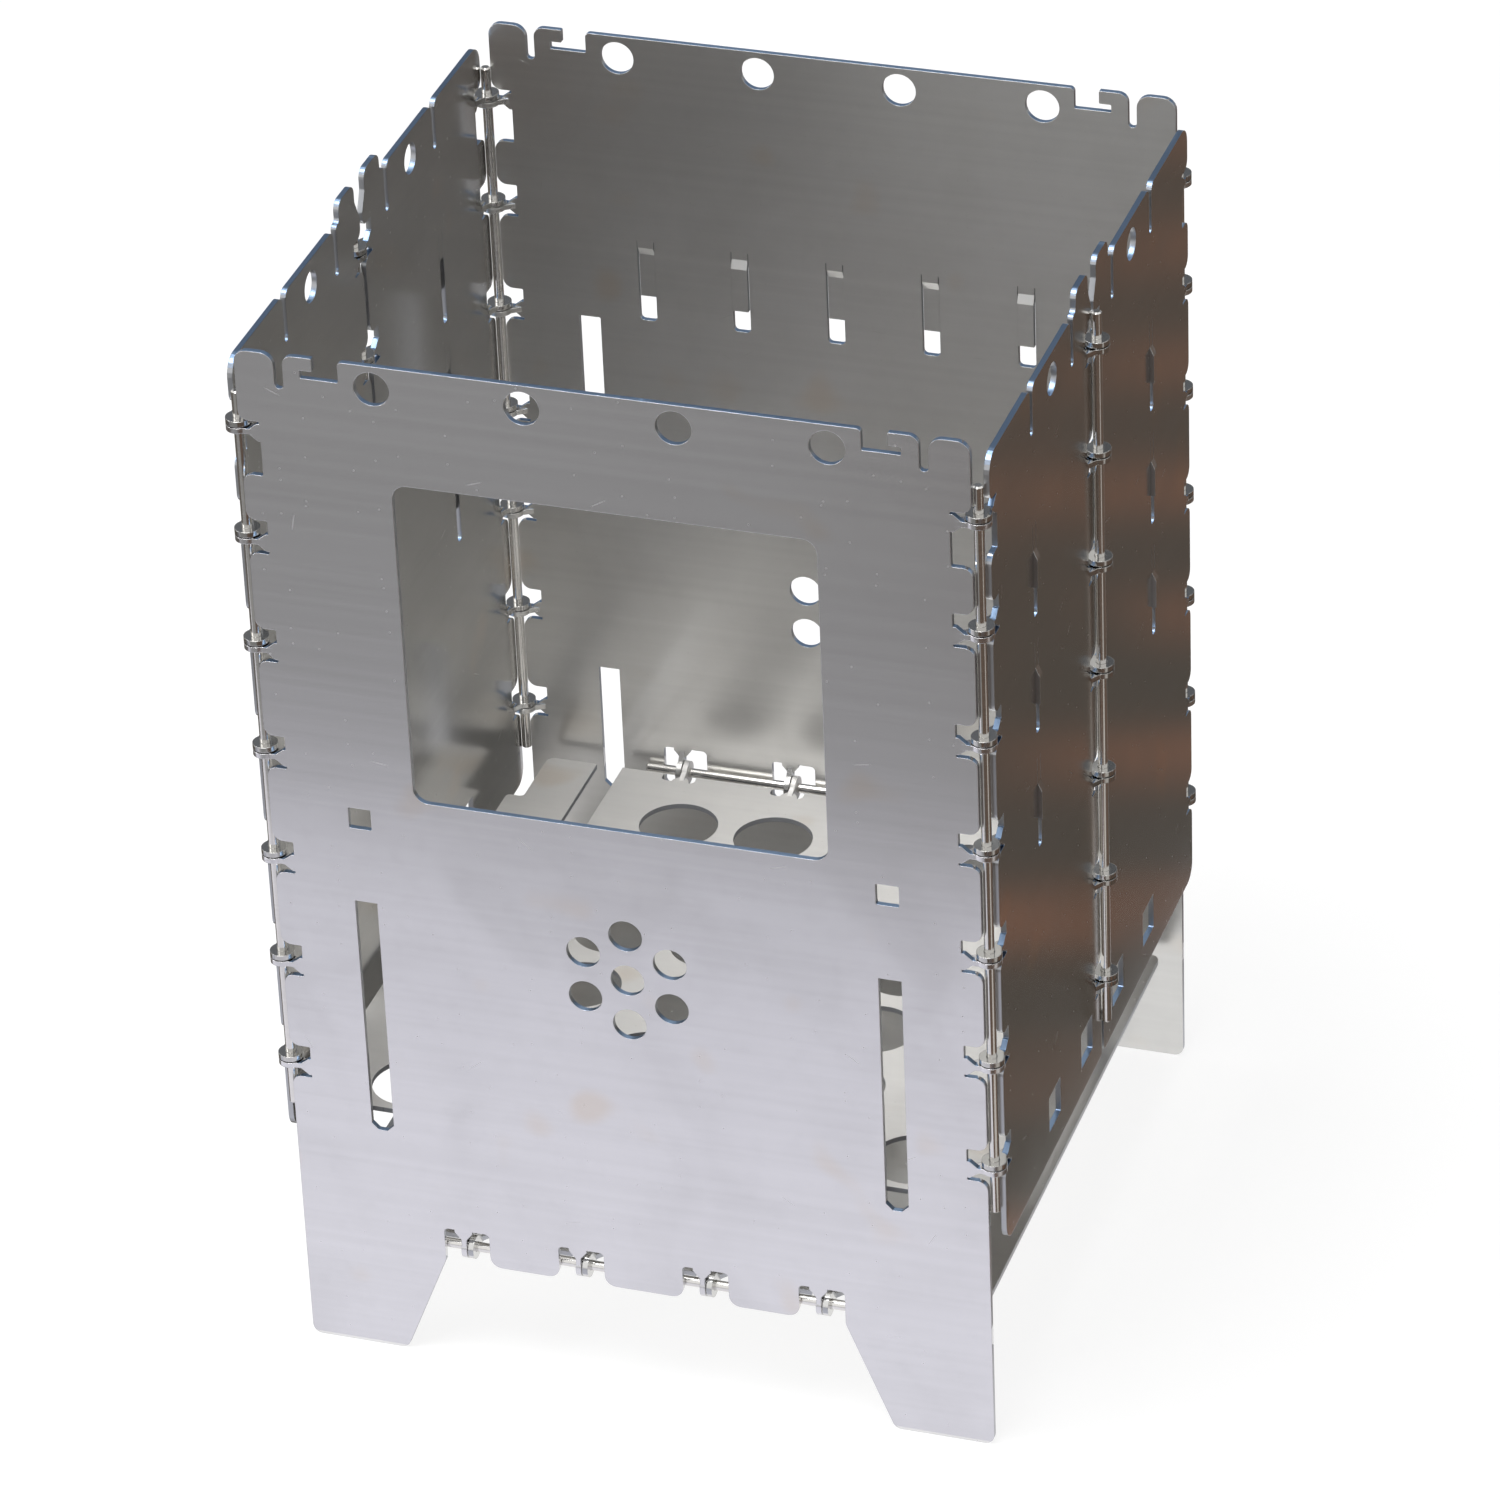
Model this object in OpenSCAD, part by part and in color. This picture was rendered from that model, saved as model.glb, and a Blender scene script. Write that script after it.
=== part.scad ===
// Folding twig stove: eight sheets of stainless steel joined by eight hinge rods.
// The front panel faces -Y, the stove stands on z = 0 and the origin is under its middle.

/* [Overall] */
// Width of the front and back panels, edge to edge
panel_w = 155; // [150:0.5:190]
// Depth over the outer faces of the front and back panels
stove_d = 153.5; // [150:0.5:190]
// Height from the feet to the top edge
stove_h = 244.5; // [236:0.5:290]
// Thickness of every sheet
sheet = 1.2; // [0.8:0.1:1.4]

/* [Hinge rods] */
// Diameter of the rods
rod_d = 2.2; // [2:0.1:2.6]
// Radial running clearance between a rod and its eyes
rod_clear = 0.05; // [0.02:0.01:0.1]
// Gap between a rod and the sheets that it passes
rod_air = 0.14; // [0.12:0.01:0.2]
// Depth that an edge rod sinks past the inner face of its sheet
rod_sink = 0.2; // [0.1:0.05:0.4]
// Height of the lower ends of the upright rods
rod_foot_z = 59.5; // [54:0.5:62]
// Distance of the upright rods' upper ends below the top edge
rod_drop = 10.5; // [9:0.5:12]
// Chamfer on the ends of the rods
rod_chamfer = 0.3; // [0.1:0.1:0.6]

/* [Hinge eyes] */
// Number of hinge places on each upright rod
eye_places = 7; // [5:1:8]
// Height of the lowest hinge place
eye_first_z = 71.2; // [68:0.2:76]
// Distance of the highest hinge place below the top edge
eye_drop = 18; // [17:0.5:20]
// Diameter of an eye
eye_d = 5.4; // [5:0.1:5.8]
// Gap between two neighbouring eyes
eye_gap = 0.3; // [0.2:0.05:0.5]
// Width of the strip that is twisted into an eye
strip_w = 4; // [3.5:0.1:4.4]
// Flat length of a strip before its twist
strip_flat = 0.6; // [0.4:0.1:1]
// Gap below a strip in its notch
strip_gap = 0.6; // [0.5:0.05:0.8]
// Height of a notch in a sheet's edge
notch_h = 7.8; // [7.4:0.1:10]
// Depth of a notch from the sheet's edge
notch_d = 4.5; // [4:0.1:6]
// Gap below the strip in the highest notch
high_gap = 8; // [5:0.2:10]
// Rounding of a notch's mouth
mouth_r = 2.2; // [1:0.1:2.2]
// Small rounding of tabs and openings
lip_r = 1; // [0.5:0.1:2]
// Rounding inside narrow cuts
cut_r = 0.3; // [0.1:0.05:0.35]

/* [Panel tops] */
// Width of the round lobe at each top corner
lobe_w = 8.6; // [7:0.2:10]
// Rounding of the lobes
lobe_r = 2.9; // [2:0.1:4.2]
// Rounding of the hooks beside the slits
hook_r = 2.2; // [1:0.1:3.4]
// Width of the slit beside a lobe
slit_w = 1.9; // [1.4:0.1:2.4]
// Depth of the slits in the panels
slit_d = 7.8; // [6:0.2:9]
// Length of a hook from the slit to its tip
hook_w = 6.4; // [5:0.2:7]
// Thickness of a hook at its tip
hook_t = 3; // [2:0.1:3.2]
// Width of the neck that carries a hook
hook_neck = 3.7; // [3:0.1:4.5]
// Width of the recess under a hook, from the neck to its far side
hook_recess = 8.2; // [6:0.2:9]
// Depth of the recess floor below the top edge
recess_d = 4.75; // [4.2:0.05:5.5]
// Diameter of the round holes along the top edge
top_hole_d = 7.6; // [6:0.2:8]
// Number of round holes along the top edge
top_holes = 4; // [2:1:5]
// Depth of the round holes' centres below the top edge
top_hole_drop = 5.2; // [5:0.1:7]
// Distance of the outer round holes from the recess
top_hole_margin = 7.1; // [6:0.1:10]

/* [Feet] */
// Width of a foot where it stands
foot_w = 22; // [16:0.5:26]
// Width of a foot at the arch
foot_top_w = 32.35; // [30:0.05:34]
// Height of the arch between the feet
arch_h = 25.4; // [18:0.2:27]
// Rounding of the feet
foot_r = 2.2; // [1:0.1:4]
// Rounding of the tabs between the ash plate's hinges
tab_r = 2.5; // [1:0.1:4]

/* [Front panel openings] */
// Width of the feed window
window_w = 90.2; // [60:0.2:100]
// Height of the feed window
window_h = 75.8; // [50:0.2:80]
// Distance of the window's top below the panel's top edge
window_drop = 26.9; // [22:0.2:30]
// Rounding of the window's corners
window_r = 3.2; // [1:0.1:4]
// Side of the small square holes below the window
square_w = 5; // [4:0.1:6]
// Distance of the square holes' centres below the window
square_drop = 6.1; // [4.5:0.1:8]
// Width of the upright air slots
slot_w = 5; // [4:0.1:6]
// Distance of the air slots from the panel's edge
slot_margin = 17.5; // [16:0.1:20]
// Height of the front air slots' lower ends
front_slot_z = 57; // [50:0.5:60]
// Distance of the front air slots' tops below the window
front_slot_drop = 26.7; // [14:0.1:50]
// Chamfer of the air slots' lower corners
slot_chamfer = 1.5; // [0.5:0.1:2]
// Diameter of the round vents
vent_d = 7.4; // [4:0.2:8]
// Radius of the ring of vents round the middle one
vent_ring_r = 11; // [9:0.2:14]
// Height of the middle vent as a share of the stove's height
vent_share = 0.43; // [0.4:0.005:0.45]

/* [Back panel openings] */
// Height of the lower air slots' lower ends
back_slot_z = 51; // [46:0.5:56]
// Height of the lower air slots
back_slot_h = 32.2; // [20:0.2:40]
// Distance of the upper slots' tops below the top edge
upper_slot_drop = 70.1; // [64:0.2:76]
// Height of the upper slots
upper_slot_h = 41.4; // [20:0.2:44]
// Distance between the tongue slots
tongue_pitch = 21.8; // [16:0.2:22]
// Distance of the back tongue slots' tops below the top edge
tongue_drop = 48.9; // [40:0.2:54]
// Height of the back tongue slots
tongue_slot_h = 20.4; // [14:0.2:24]

/* [Tongues] */
// Width of a back tongue slot
tongue_slot_w = 4; // [3.4:0.1:5]
// Gap on each side of a tongue
tongue_side_gap = 0.15; // [0.1:0.05:0.5]
// Straight length of a tongue above its bend
tongue_root = 2.4; // [1:0.1:4]
// Length of the bend
tongue_bend = 2; // [1:0.1:3]
// Sideways step of the bend
tongue_step = 0.9; // [0.6:0.1:1.6]
// Free gap below a tongue
tongue_end_gap = 5.6; // [3:0.1:8]

/* [Side walls] */
// Height of the walls' lower edges
wall_z = 51; // [48:0.5:54]
// Distance of the walls' top edges below the panels' top edge
wall_drop = 4.5; // [3:0.1:6]
// Rounding of the walls' outer corners
wall_r = 4; // [1:0.1:5]
// Distance of the inner slit from the middle of the wall
inner_slit_y = 15; // [14.5:0.1:17]
// Distance of the outer slit from the middle of the wall
outer_slit_y = 44.5; // [40:0.1:50]
// Depth of the walls' slits
wall_slit_d = 11; // [6:0.2:13]
// Width of the walls' slits
wall_slit_w = 1.8; // [1.2:0.1:2.4]
// Rounding of the walls' slit mouths
slit_mouth_r = 2; // [0.5:0.1:3]
// Diameter of the round hole between the slits
wall_hole_d = 7; // [5:0.2:8]
// Depth of the round hole's centre below the wall's top edge
wall_hole_drop = 6; // [5:0.1:9]
// Width of the raised lobe beside the middle rod
mid_lobe_w = 9; // [7:0.2:9.5]
// Rounding of the raised lobe
mid_lobe_r = 4.2; // [2:0.1:4.4]
// Distance of the raised lobe from the middle of the wall
mid_lobe_y = 3; // [2.6:0.1:3.5]
// Distance of the tongue slots from the middle of the wall
wall_tongue_y = 44; // [38:0.2:50]
// Distance of the upper tongue slot's top below the panels' top edge
wall_tongue_drop = 35.5; // [32:0.2:38]
// Distance between stacked tongue slots
wall_tongue_pitch = 27.6; // [25:0.2:28]
// Height of the walls' tongue slots
wall_tongue_h = 22.3; // [16:0.1:24]
// Width of the walls' tongue slots
wall_slot_w = 2.4; // [2:0.1:4]
// Straight length of a wall tongue above its bend
wall_tongue_root = 6.6; // [2:0.1:8]
// Free gap below a wall tongue
wall_end_gap = 7.2; // [3:0.1:8]
// Number of stacked tongue slots
wall_tongues = 3; // [1:1:4]
// Side of the square holes low in the walls
wall_square_w = 8.6; // [5:0.1:8.8]
// Height of the low square holes' centres
wall_square_z = 61.8; // [58:0.2:66]
// Distance of the inner square hole from the middle of the wall
inner_square_y = 12.3; // [11:0.1:16]
// Distance of the outer square hole from the middle of the wall
outer_square_y = 37; // [30:0.2:50]

/* [Fire grate] */
// Height of the grate's hinge rod
grate_rod_z = 58.8; // [57:0.1:61]
// Gap between the grate and the side walls
grate_side_gap = 3.25; // [3.25:0.05:7]
// Length of the narrower part at the grate's rear
relief_l = 17.5; // [16:0.1:24]
// Depth of the step on each side of that narrower part
relief_w = 4; // [1:0.1:6]
// Gap between the grate and the front panel
grate_front_gap = 3.7; // [3.5:0.1:5]
// Distance of the plates' hinge edges from their rods
plate_edge_gap = 2.7; // [2.7:0.1:4]
// Diameter of the grate's holes
grate_hole_d = 18; // [12:0.2:20]
// Distance between the grate's holes
grate_pitch = 22.5; // [21:0.1:26]
// Distance of the first row of holes from the grate's front edge
grate_row_margin = 10.8; // [10.4:0.1:14]
// Width of the open slots at the grate's rear edge
grate_slot_w = 6.2; // [4:0.1:7]
// Length of the open slots
grate_slot_l = 60; // [30:1:80]
// Distance of the open slots from the grate's side edges
grate_slot_margin = 15.8; // [12:0.1:17]
// Rounding of the plates' corners
plate_r = 2; // [1:0.1:5]

/* [Ash plate] */
// Height of the ash plate's hinge rod
ash_rod_z = 28.3; // [28:0.1:31]
// Gap between the ash plate and the back panel
ash_back_gap = 3.6; // [2:0.1:12]
// Gap between the ash plate and the side walls
ash_side_gap = 6; // [3:0.1:10]

/* [Plate hinges] */
// Distance of the inner plate hinges from the middle
plate_hinge_x = 14; // [10:0.1:18]
// Width of the openings for the plate hinges
hinge_gap_w = 10.3; // [9:0.1:11]
// Room below the grate's rod in its opening
hinge_gap_down = 4.7; // [3:0.1:6]
// Length of the plate rods past the outer openings
plate_rod_past = 3.85; // [2:0.05:8]

/* [Hidden] */
$fn = 48;
arc_steps = 6;

// Rods and the eyes round them
rod_r = rod_d / 2;
bore_r = rod_r + rod_clear;
eye_r = eye_d / 2;
eye_rise = (eye_gap + sheet) / 2;
edge_off = rod_r - rod_sink;
edge_back = sqrt(pow(rod_r + rod_air, 2) - pow(edge_off, 2));
plate_off = rod_r + rod_air;
plate_lift = sheet / 2;

// Strips from a sheet to its eyes: their length and where the twist starts and ends before the rod
strip_l = edge_back + notch_d;
twist_start = strip_l - strip_flat;
twist_end = eye_r + rod_air;
neck_share = 0.8;
neck_h = neck_share * sheet;
neck_r = neck_share * eye_r;

// Where the sheets and the upright rods stand
edge_x = panel_w / 2;
corner_x = edge_x + edge_back;
panel_in = stove_d / 2 - sheet;
corner_y = panel_in - edge_off;
wall_in = corner_x + edge_off;
mid_x = wall_in + sheet + edge_off;
wall_end = corner_y - edge_back;
wall_top = stove_h - wall_drop;

// Heights of the hinge places
eye_last_z = stove_h - eye_drop;
eye_step = (eye_last_z - eye_first_z) / (eye_places - 1);
eye_z = [for (i = [0:eye_places - 1]) eye_first_z + i * eye_step];

// Places along a panel's width
foot_in = edge_x - foot_top_w;
hinge_xs = [-foot_in + hinge_gap_w / 2, -plate_hinge_x, plate_hinge_x, foot_in - hinge_gap_w / 2];
slot_x = edge_x - slot_margin - slot_w / 2;
slit_x = edge_x - lobe_w;
hook_x = slit_x - slit_w;
recess_x = hook_x - hook_neck - hook_recess;
top_hole_x = recess_x - top_hole_margin;
window_z = stove_h - window_drop - window_h;
front_slot_h = window_z - front_slot_drop - front_slot_z;
vent_z = vent_share * stove_h;

// Plates and their rods
plate_y = panel_in - plate_off;
grate_x = wall_in - grate_side_gap;
ash_x = wall_in - ash_side_gap;
grate_front = -(panel_in - grate_front_gap);
grate_rear = plate_y - plate_edge_gap;
ash_front = -grate_rear;
ash_rear = panel_in - ash_back_gap;
plate_rod_x = foot_in + plate_rod_past;
grate_slot_x = grate_x - grate_slot_margin - grate_slot_w / 2;

// Steps of the back panel's tongues, 1 outward and -1 inward
back_tongues = [1, -1, 1, 1, -1];
tongue_mid = (len(back_tongues) - 1) / 2;

// Outlines with a rounding at each corner: every point is [x, y, radius]
function unit(v) = v / norm(v);
function flat(lists) = [for (list = lists) for (item = list) item];
function spot(p) = [p[0], p[1]];
function fillet(before, p, after) =
    let (
        u = unit(spot(before) - spot(p)),
        v = unit(spot(after) - spot(p)),
        half = acos(u * v) / 2,
        room = 0.49 * min(norm(spot(before) - spot(p)), norm(spot(after) - spot(p))),
        r = min(p[2], room * tan(half))
    )
    r < 0.01 ? [spot(p)] :
    let (
        centre = spot(p) + unit(u + v) * r / sin(half),
        start = spot(p) + u * r / tan(half) - centre,
        end = spot(p) + v * r / tan(half) - centre,
        turn = 180 - 2 * half
    )
    [for (i = [0:arc_steps])
        centre + (start * sin(turn * (1 - i / arc_steps)) + end * sin(turn * i / arc_steps)) / sin(turn)];
function rounded(path) =
    let (n = len(path))
    flat([for (i = [0:n - 1]) fillet(path[(i + n - 1) % n], path[i], path[(i + 1) % n])]);
function reversed(path) = [for (i = [len(path) - 1:-1:0]) path[i]];
function mirrored(path) = [for (p = reversed(path)) [-p[0], p[1], p[2]]];
function turned(path) = [for (p = path) [p[1], p[0], p[2]]];

// Middle of an eye at place z: side 1 is the upper eye of the pair, side -1 the lower one
function eye_mid(z, side) = z + side * eye_rise;

// Strip from a sheet to its rod, narrowing where it is twisted into the eye at height mid
function strip_path(root, rod, mid) =
    let (
        way = sign(rod - root),
        start = rod - way * twist_start,
        end = rod - way * twist_end,
        half = strip_w / 2
    )
    [[root, mid - half, 0], [start, mid - half, 0], [end, mid - neck_h / 2, 0],
     [rod, mid - neck_h / 2, 0], [rod, mid + neck_h / 2, 0],
     [end, mid + neck_h / 2, 0], [start, mid + half, 0], [root, mid + half, 0]];

// Edge of a sheet at one hinge place, upward: the notch and its strip, which lies low in the notch
// or, where hung is true, at the top of it
function edge_place(edge, root, rod, z, side, hung) =
    let (
        mid = eye_mid(z, side),
        half = strip_w / 2,
        low = mid - half - (hung ? high_gap : strip_gap),
        high = hung ? mid + half + strip_gap : low + notch_h
    )
    concat(
        [[edge, low, mouth_r], [root, low, cut_r]],
        strip_path(root, rod, mid),
        [[root, high, cut_r], [edge, high, mouth_r]]
    );
function corner_edge(edge, rod, side) =
    flat([for (z = eye_z) edge_place(edge, edge - notch_d, rod, z, side, z == eye_last_z)]);

// Right half of a panel's outline, from the bottom edge to the top edge
function foot_path() =
    [[edge_x - foot_w, 0, foot_r], [edge_x, 0, foot_r]];
function top_path() =
    [[edge_x, stove_h, lobe_r], [slit_x, stove_h, lobe_r],
     [slit_x, stove_h - slit_d, slit_w / 2], [hook_x, stove_h - slit_d, slit_w / 2],
     [hook_x, stove_h, hook_r], [hook_x - hook_w, stove_h, cut_r],
     [hook_x - hook_w, stove_h - hook_t, cut_r], [hook_x - hook_neck, stove_h - hook_t, cut_r],
     [hook_x - hook_neck, stove_h - recess_d, cut_r], [recess_x, stove_h - recess_d, cut_r],
     [recess_x, stove_h, lip_r]];
function bottom_notch(x) =
    [[x - hinge_gap_w / 2, arch_h, tab_r], [x - hinge_gap_w / 2, ash_rod_z + strip_l, lip_r],
     [x + hinge_gap_w / 2, ash_rod_z + strip_l, lip_r], [x + hinge_gap_w / 2, arch_h, tab_r]];
function front_bottom() = concat(bottom_notch(plate_hinge_x), bottom_notch(hinge_xs[3]));
function back_bottom() = [[foot_in, arch_h, lip_r]];
function panel_path(bottom) =
    let (half = concat(bottom, foot_path(), corner_edge(edge_x, corner_x, -1), top_path()))
    concat(half, mirrored(half));

// A half wall's outline, in distance from the middle and height: side places its middle eyes
function wall_slit(y) =
    let (half = wall_slit_w / 2, low = wall_top - wall_slit_d)
    [[y + half, wall_top, slit_mouth_r], [y + half, low, half],
     [y - half, low, half], [y - half, wall_top, slit_mouth_r]];
function wall_path(side) =
    concat(
        [[edge_back, wall_z, lip_r], [wall_end, wall_z, wall_r]],
        corner_edge(wall_end, corner_y, 1),
        [[wall_end, wall_top, wall_r]],
        wall_slit(outer_slit_y),
        wall_slit(inner_slit_y),
        [[mid_lobe_y + mid_lobe_w, wall_top, lip_r], [mid_lobe_y + mid_lobe_w, stove_h, mid_lobe_r],
         [mid_lobe_y, stove_h, mid_lobe_r], [mid_lobe_y, wall_top, lip_r],
         [edge_back, wall_top - wall_drop, lip_r]],
        reversed(flat([for (z = eye_z) edge_place(edge_back, edge_back + notch_d, 0, z, side, false)]))
    );

// Plain cut-outs
module box_cut(x, z, w, h, r) {
    translate([x, z])
        polygon(rounded([[-w / 2, 0, r], [w / 2, 0, r], [w / 2, h, r], [-w / 2, h, r]]));
}

// Upright slot with chamfered lower corners
module slot_cut(x, z, w, h) {
    c = slot_chamfer;
    translate([x, z])
        polygon([[-w / 2 + c, 0], [w / 2 - c, 0], [w / 2, c], [w / 2, h], [-w / 2, h], [-w / 2, c]]);
}

// One round vent with six round it
module vent_cut() {
    translate([0, vent_z]) {
        circle(d = vent_d);
        for (i = [0:5])
            rotate(60 * i + 30)
                translate([vent_ring_r, 0])
                    circle(d = vent_d);
    }
}

// Cut-outs that the front and back panels share
module shared_cuts() {
    for (i = [0:top_holes - 1])
        translate([-top_hole_x + i * 2 * top_hole_x / (top_holes - 1), stove_h - top_hole_drop])
            circle(d = top_hole_d);
    vent_cut();
}

module front_cuts() {
    shared_cuts();
    box_cut(0, window_z, window_w, window_h, window_r);
    for (s = [-1, 1]) {
        box_cut(s * slot_x, window_z - square_drop - square_w / 2, square_w, square_w, cut_r);
        slot_cut(s * slot_x, front_slot_z, slot_w, front_slot_h);
    }
}

module back_cuts() {
    shared_cuts();
    for (s = [-1, 1]) {
        slot_cut(s * slot_x, back_slot_z, slot_w, back_slot_h);
        box_cut(s * slot_x, stove_h - upper_slot_drop - upper_slot_h, slot_w, upper_slot_h, cut_r);
    }
    for (i = [0:len(back_tongues) - 1])
        box_cut((i - tongue_mid) * tongue_pitch, stove_h - tongue_drop - tongue_slot_h,
                tongue_slot_w, tongue_slot_h, lip_r);
    for (x = hinge_xs)
        box_cut(x, grate_rod_z - hinge_gap_down, hinge_gap_w, hinge_gap_down + strip_l, lip_r);
}

// Tongue below the origin, hanging from a sheet that fills 0 to sheet along Y, bent towards +Y:
// straight down to -root, its end at low
module tongue(slot_w, root, low) {
    w = slot_w - 2 * tongue_side_gap;
    knee = -root - tongue_bend;
    step = tongue_step;
    translate([-w / 2, 0, 0])
        rotate([90, 0, 90])
            linear_extrude(w)
                polygon([[0, tongue_root], [0, -root], [step, knee], [step, low],
                         [step + sheet, low], [step + sheet, knee],
                         [sheet, -root], [sheet, tongue_root]]);
}

// A strip along Y from root to rod, in the middle of x
module strip(root, rod, x) {
    polygon(rounded(turned(strip_path(root, rod, x))));
}

// One eye round the local Z axis, with its twisted neck: the strip comes from -X,
// on the -Y side of the axis and off away from it
module eye(off) {
    translate([0, 0, -sheet / 2]) {
        cylinder(r = eye_r, h = sheet);
        linear_extrude(sheet)
            polygon([[-twist_start, -off - sheet], [-twist_start, -off], [0, neck_r], [0, -neck_r]]);
    }
}

module eye_bore() {
    cylinder(r = bore_r, h = sheet + eye_gap, center = true);
}

module edge_eyes(side) {
    for (z = eye_z)
        translate([0, 0, eye_mid(z, side)])
            eye(edge_off);
}

module edge_bores(side) {
    for (z = eye_z)
        translate([0, 0, eye_mid(z, side)])
            eye_bore();
}

// Places its children on the right and left corner rods of the front panel
module at_panel_edges() {
    for (m = [0, 1])
        mirror([m, 0, 0])
            translate([corner_x, -corner_y, 0])
                children();
}

// Places its children on a panel's eyes round a plate rod at height z
module at_panel_hinge(z) {
    for (x = hinge_xs)
        translate([x - eye_rise, -plate_y, z])
            rotate([0, 90, 0])
                children();
}

// Places its children on a rear-hinged plate's eyes round its rod at height z
module at_plate_hinge(z) {
    for (x = hinge_xs)
        translate([x + eye_rise, plate_y, z])
            rotate([90, 0, 90])
                children();
}

// A panel in the front place: its outline, less its children, with all of its eyes
module panel(bottom, rod_z) {
    difference() {
        union() {
            translate([0, -panel_in, 0])
                rotate([90, 0, 0])
                    linear_extrude(sheet) {
                        difference() {
                            polygon(rounded(panel_path(bottom)));
                            children();
                        }
                        for (x = hinge_xs)
                            strip(rod_z + strip_l + lip_r, rod_z, x - eye_rise);
                    }
            at_panel_edges()
                edge_eyes(-1);
            at_panel_hinge(rod_z)
                eye(plate_off);
        }
        at_panel_edges()
            edge_bores(-1);
        at_panel_hinge(rod_z)
            eye_bore();
    }
}

module front_panel() {
    color("gainsboro")
        panel(front_bottom(), ash_rod_z)
            front_cuts();
}

module back_panel() {
    color("darkgray")
        mirror([0, 1, 0]) {
            panel(back_bottom(), grate_rod_z)
                back_cuts();
            for (i = [0:len(back_tongues) - 1])
                translate([(i - tongue_mid) * tongue_pitch, -panel_in - sheet / 2, stove_h - tongue_drop])
                    mirror([0, back_tongues[i] > 0 ? 1 : 0, 0])
                        translate([0, -sheet / 2, 0])
                            tongue(tongue_slot_w, tongue_root, tongue_end_gap - tongue_slot_h);
        }
}

// The rear half of the right wall: side places its eyes on the middle rod
module half_wall(side) {
    difference() {
        union() {
            translate([wall_in, 0, 0])
                rotate([90, 0, 90])
                    linear_extrude(sheet)
                        difference() {
                            polygon(rounded(wall_path(side)));
                            wall_cuts();
                        }
            translate([corner_x, corner_y, 0])
                rotate(90)
                    edge_eyes(1);
            translate([mid_x, 0, 0])
                rotate(-90)
                    edge_eyes(side);
        }
        translate([corner_x, corner_y, 0])
            rotate(90)
                edge_bores(1);
        translate([mid_x, 0, 0])
            rotate(-90)
                edge_bores(side);
    }
    for (i = [0:wall_tongues - 1])
        translate([wall_in, wall_tongue_y, stove_h - wall_tongue_drop - i * wall_tongue_pitch])
            rotate(-90)
                tongue(wall_slot_w, wall_tongue_root, wall_end_gap - wall_tongue_h);
}

module wall_cuts() {
    translate([(inner_slit_y + outer_slit_y) / 2, wall_top - wall_hole_drop])
        circle(d = wall_hole_d);
    for (y = [inner_square_y, outer_square_y])
        box_cut(y, wall_square_z - wall_square_w / 2, wall_square_w, wall_square_w, cut_r);
    for (i = [0:wall_tongues - 1])
        box_cut(wall_tongue_y, stove_h - wall_tongue_drop - i * wall_tongue_pitch - wall_tongue_h,
                wall_slot_w, wall_tongue_h, lip_r);
}

module right_rear_wall() {
    color("dimgray")
        half_wall(1);
}

module right_front_wall() {
    color("dimgray")
        mirror([0, 1, 0])
            half_wall(-1);
}

module left_rear_wall() {
    color("gray")
        mirror([1, 0, 0])
            half_wall(1);
}

module left_front_wall() {
    color("gray")
        mirror([1, 0, 0])
            mirror([0, 1, 0])
                half_wall(-1);
}

// A rod along Z from the origin with chamfered ends
module rod(length) {
    c = rod_chamfer;
    rotate_extrude()
        polygon([[0, 0], [rod_r - c, 0], [rod_r, c], [rod_r, length - c], [rod_r - c, length], [0, length]]);
}

module upright_rod(x, y) {
    color("silver")
        translate([x, y, rod_foot_z])
            rod(stove_h - rod_drop - rod_foot_z);
}

module plate_rod(y, z) {
    color("silver")
        translate([-plate_rod_x, y, z])
            rotate([0, 90, 0])
                rod(2 * plate_rod_x);
}

module front_left_rod() { upright_rod(-corner_x, -corner_y); }
module front_right_rod() { upright_rod(corner_x, -corner_y); }
module back_left_rod() { upright_rod(-corner_x, corner_y); }
module back_right_rod() { upright_rod(corner_x, corner_y); }
module left_mid_rod() { upright_rod(-mid_x, 0); }
module right_mid_rod() { upright_rod(mid_x, 0); }
module grate_rod() { plate_rod(plate_y, grate_rod_z); }
module ash_rod() { plate_rod(-plate_y, ash_rod_z); }

// A plate hinged at the rear, in the middle of its rod at height z: the right half of its outline,
// less its children, with notches and strips that run to the eyes round the rod
module swing_plate(half, z) {
    difference() {
        union() {
            translate([0, 0, z - sheet + plate_lift])
                linear_extrude(sheet) {
                    difference() {
                        polygon(rounded(concat(half, mirrored(half))));
                        for (x = hinge_xs)
                            box_cut(x, plate_y - strip_l, notch_h, strip_l, lip_r);
                        children();
                    }
                    for (x = hinge_xs)
                        strip(plate_y - strip_l - lip_r, plate_y, x + eye_rise);
                }
            at_plate_hinge(z)
                eye(-plate_lift);
        }
        at_plate_hinge(z)
            eye_bore();
    }
}

// Round holes in rows, two more in the front row, and two slots that are open at the rear
module grate_cuts() {
    rows = floor((grate_rear - grate_front - 2 * grate_row_margin) / grate_pitch);
    first = grate_front + grate_row_margin;
    for (row = [0:rows])
        for (column = row == 0 ? [-2.5:1:2.5] : [-1.5:1:1.5])
            translate([column * grate_pitch, first + row * grate_pitch])
                circle(d = grate_hole_d);
    for (s = [-1, 1])
        translate([s * grate_slot_x, grate_rear - grate_slot_l])
            polygon(rounded([[-grate_slot_w / 2, 0, lip_r], [grate_slot_w / 2, 0, lip_r],
                             [grate_slot_w / 2, 2 * grate_slot_l, 0],
                             [-grate_slot_w / 2, 2 * grate_slot_l, 0]]));
}

module fire_grate() {
    color("lightgray")
        swing_plate([[grate_x, grate_front, plate_r], [grate_x, grate_rear - relief_l, lip_r],
                     [grate_x - relief_w, grate_rear - relief_l, lip_r],
                     [grate_x - relief_w, grate_rear, plate_r]],
                    grate_rod_z)
            grate_cuts();
}

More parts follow.
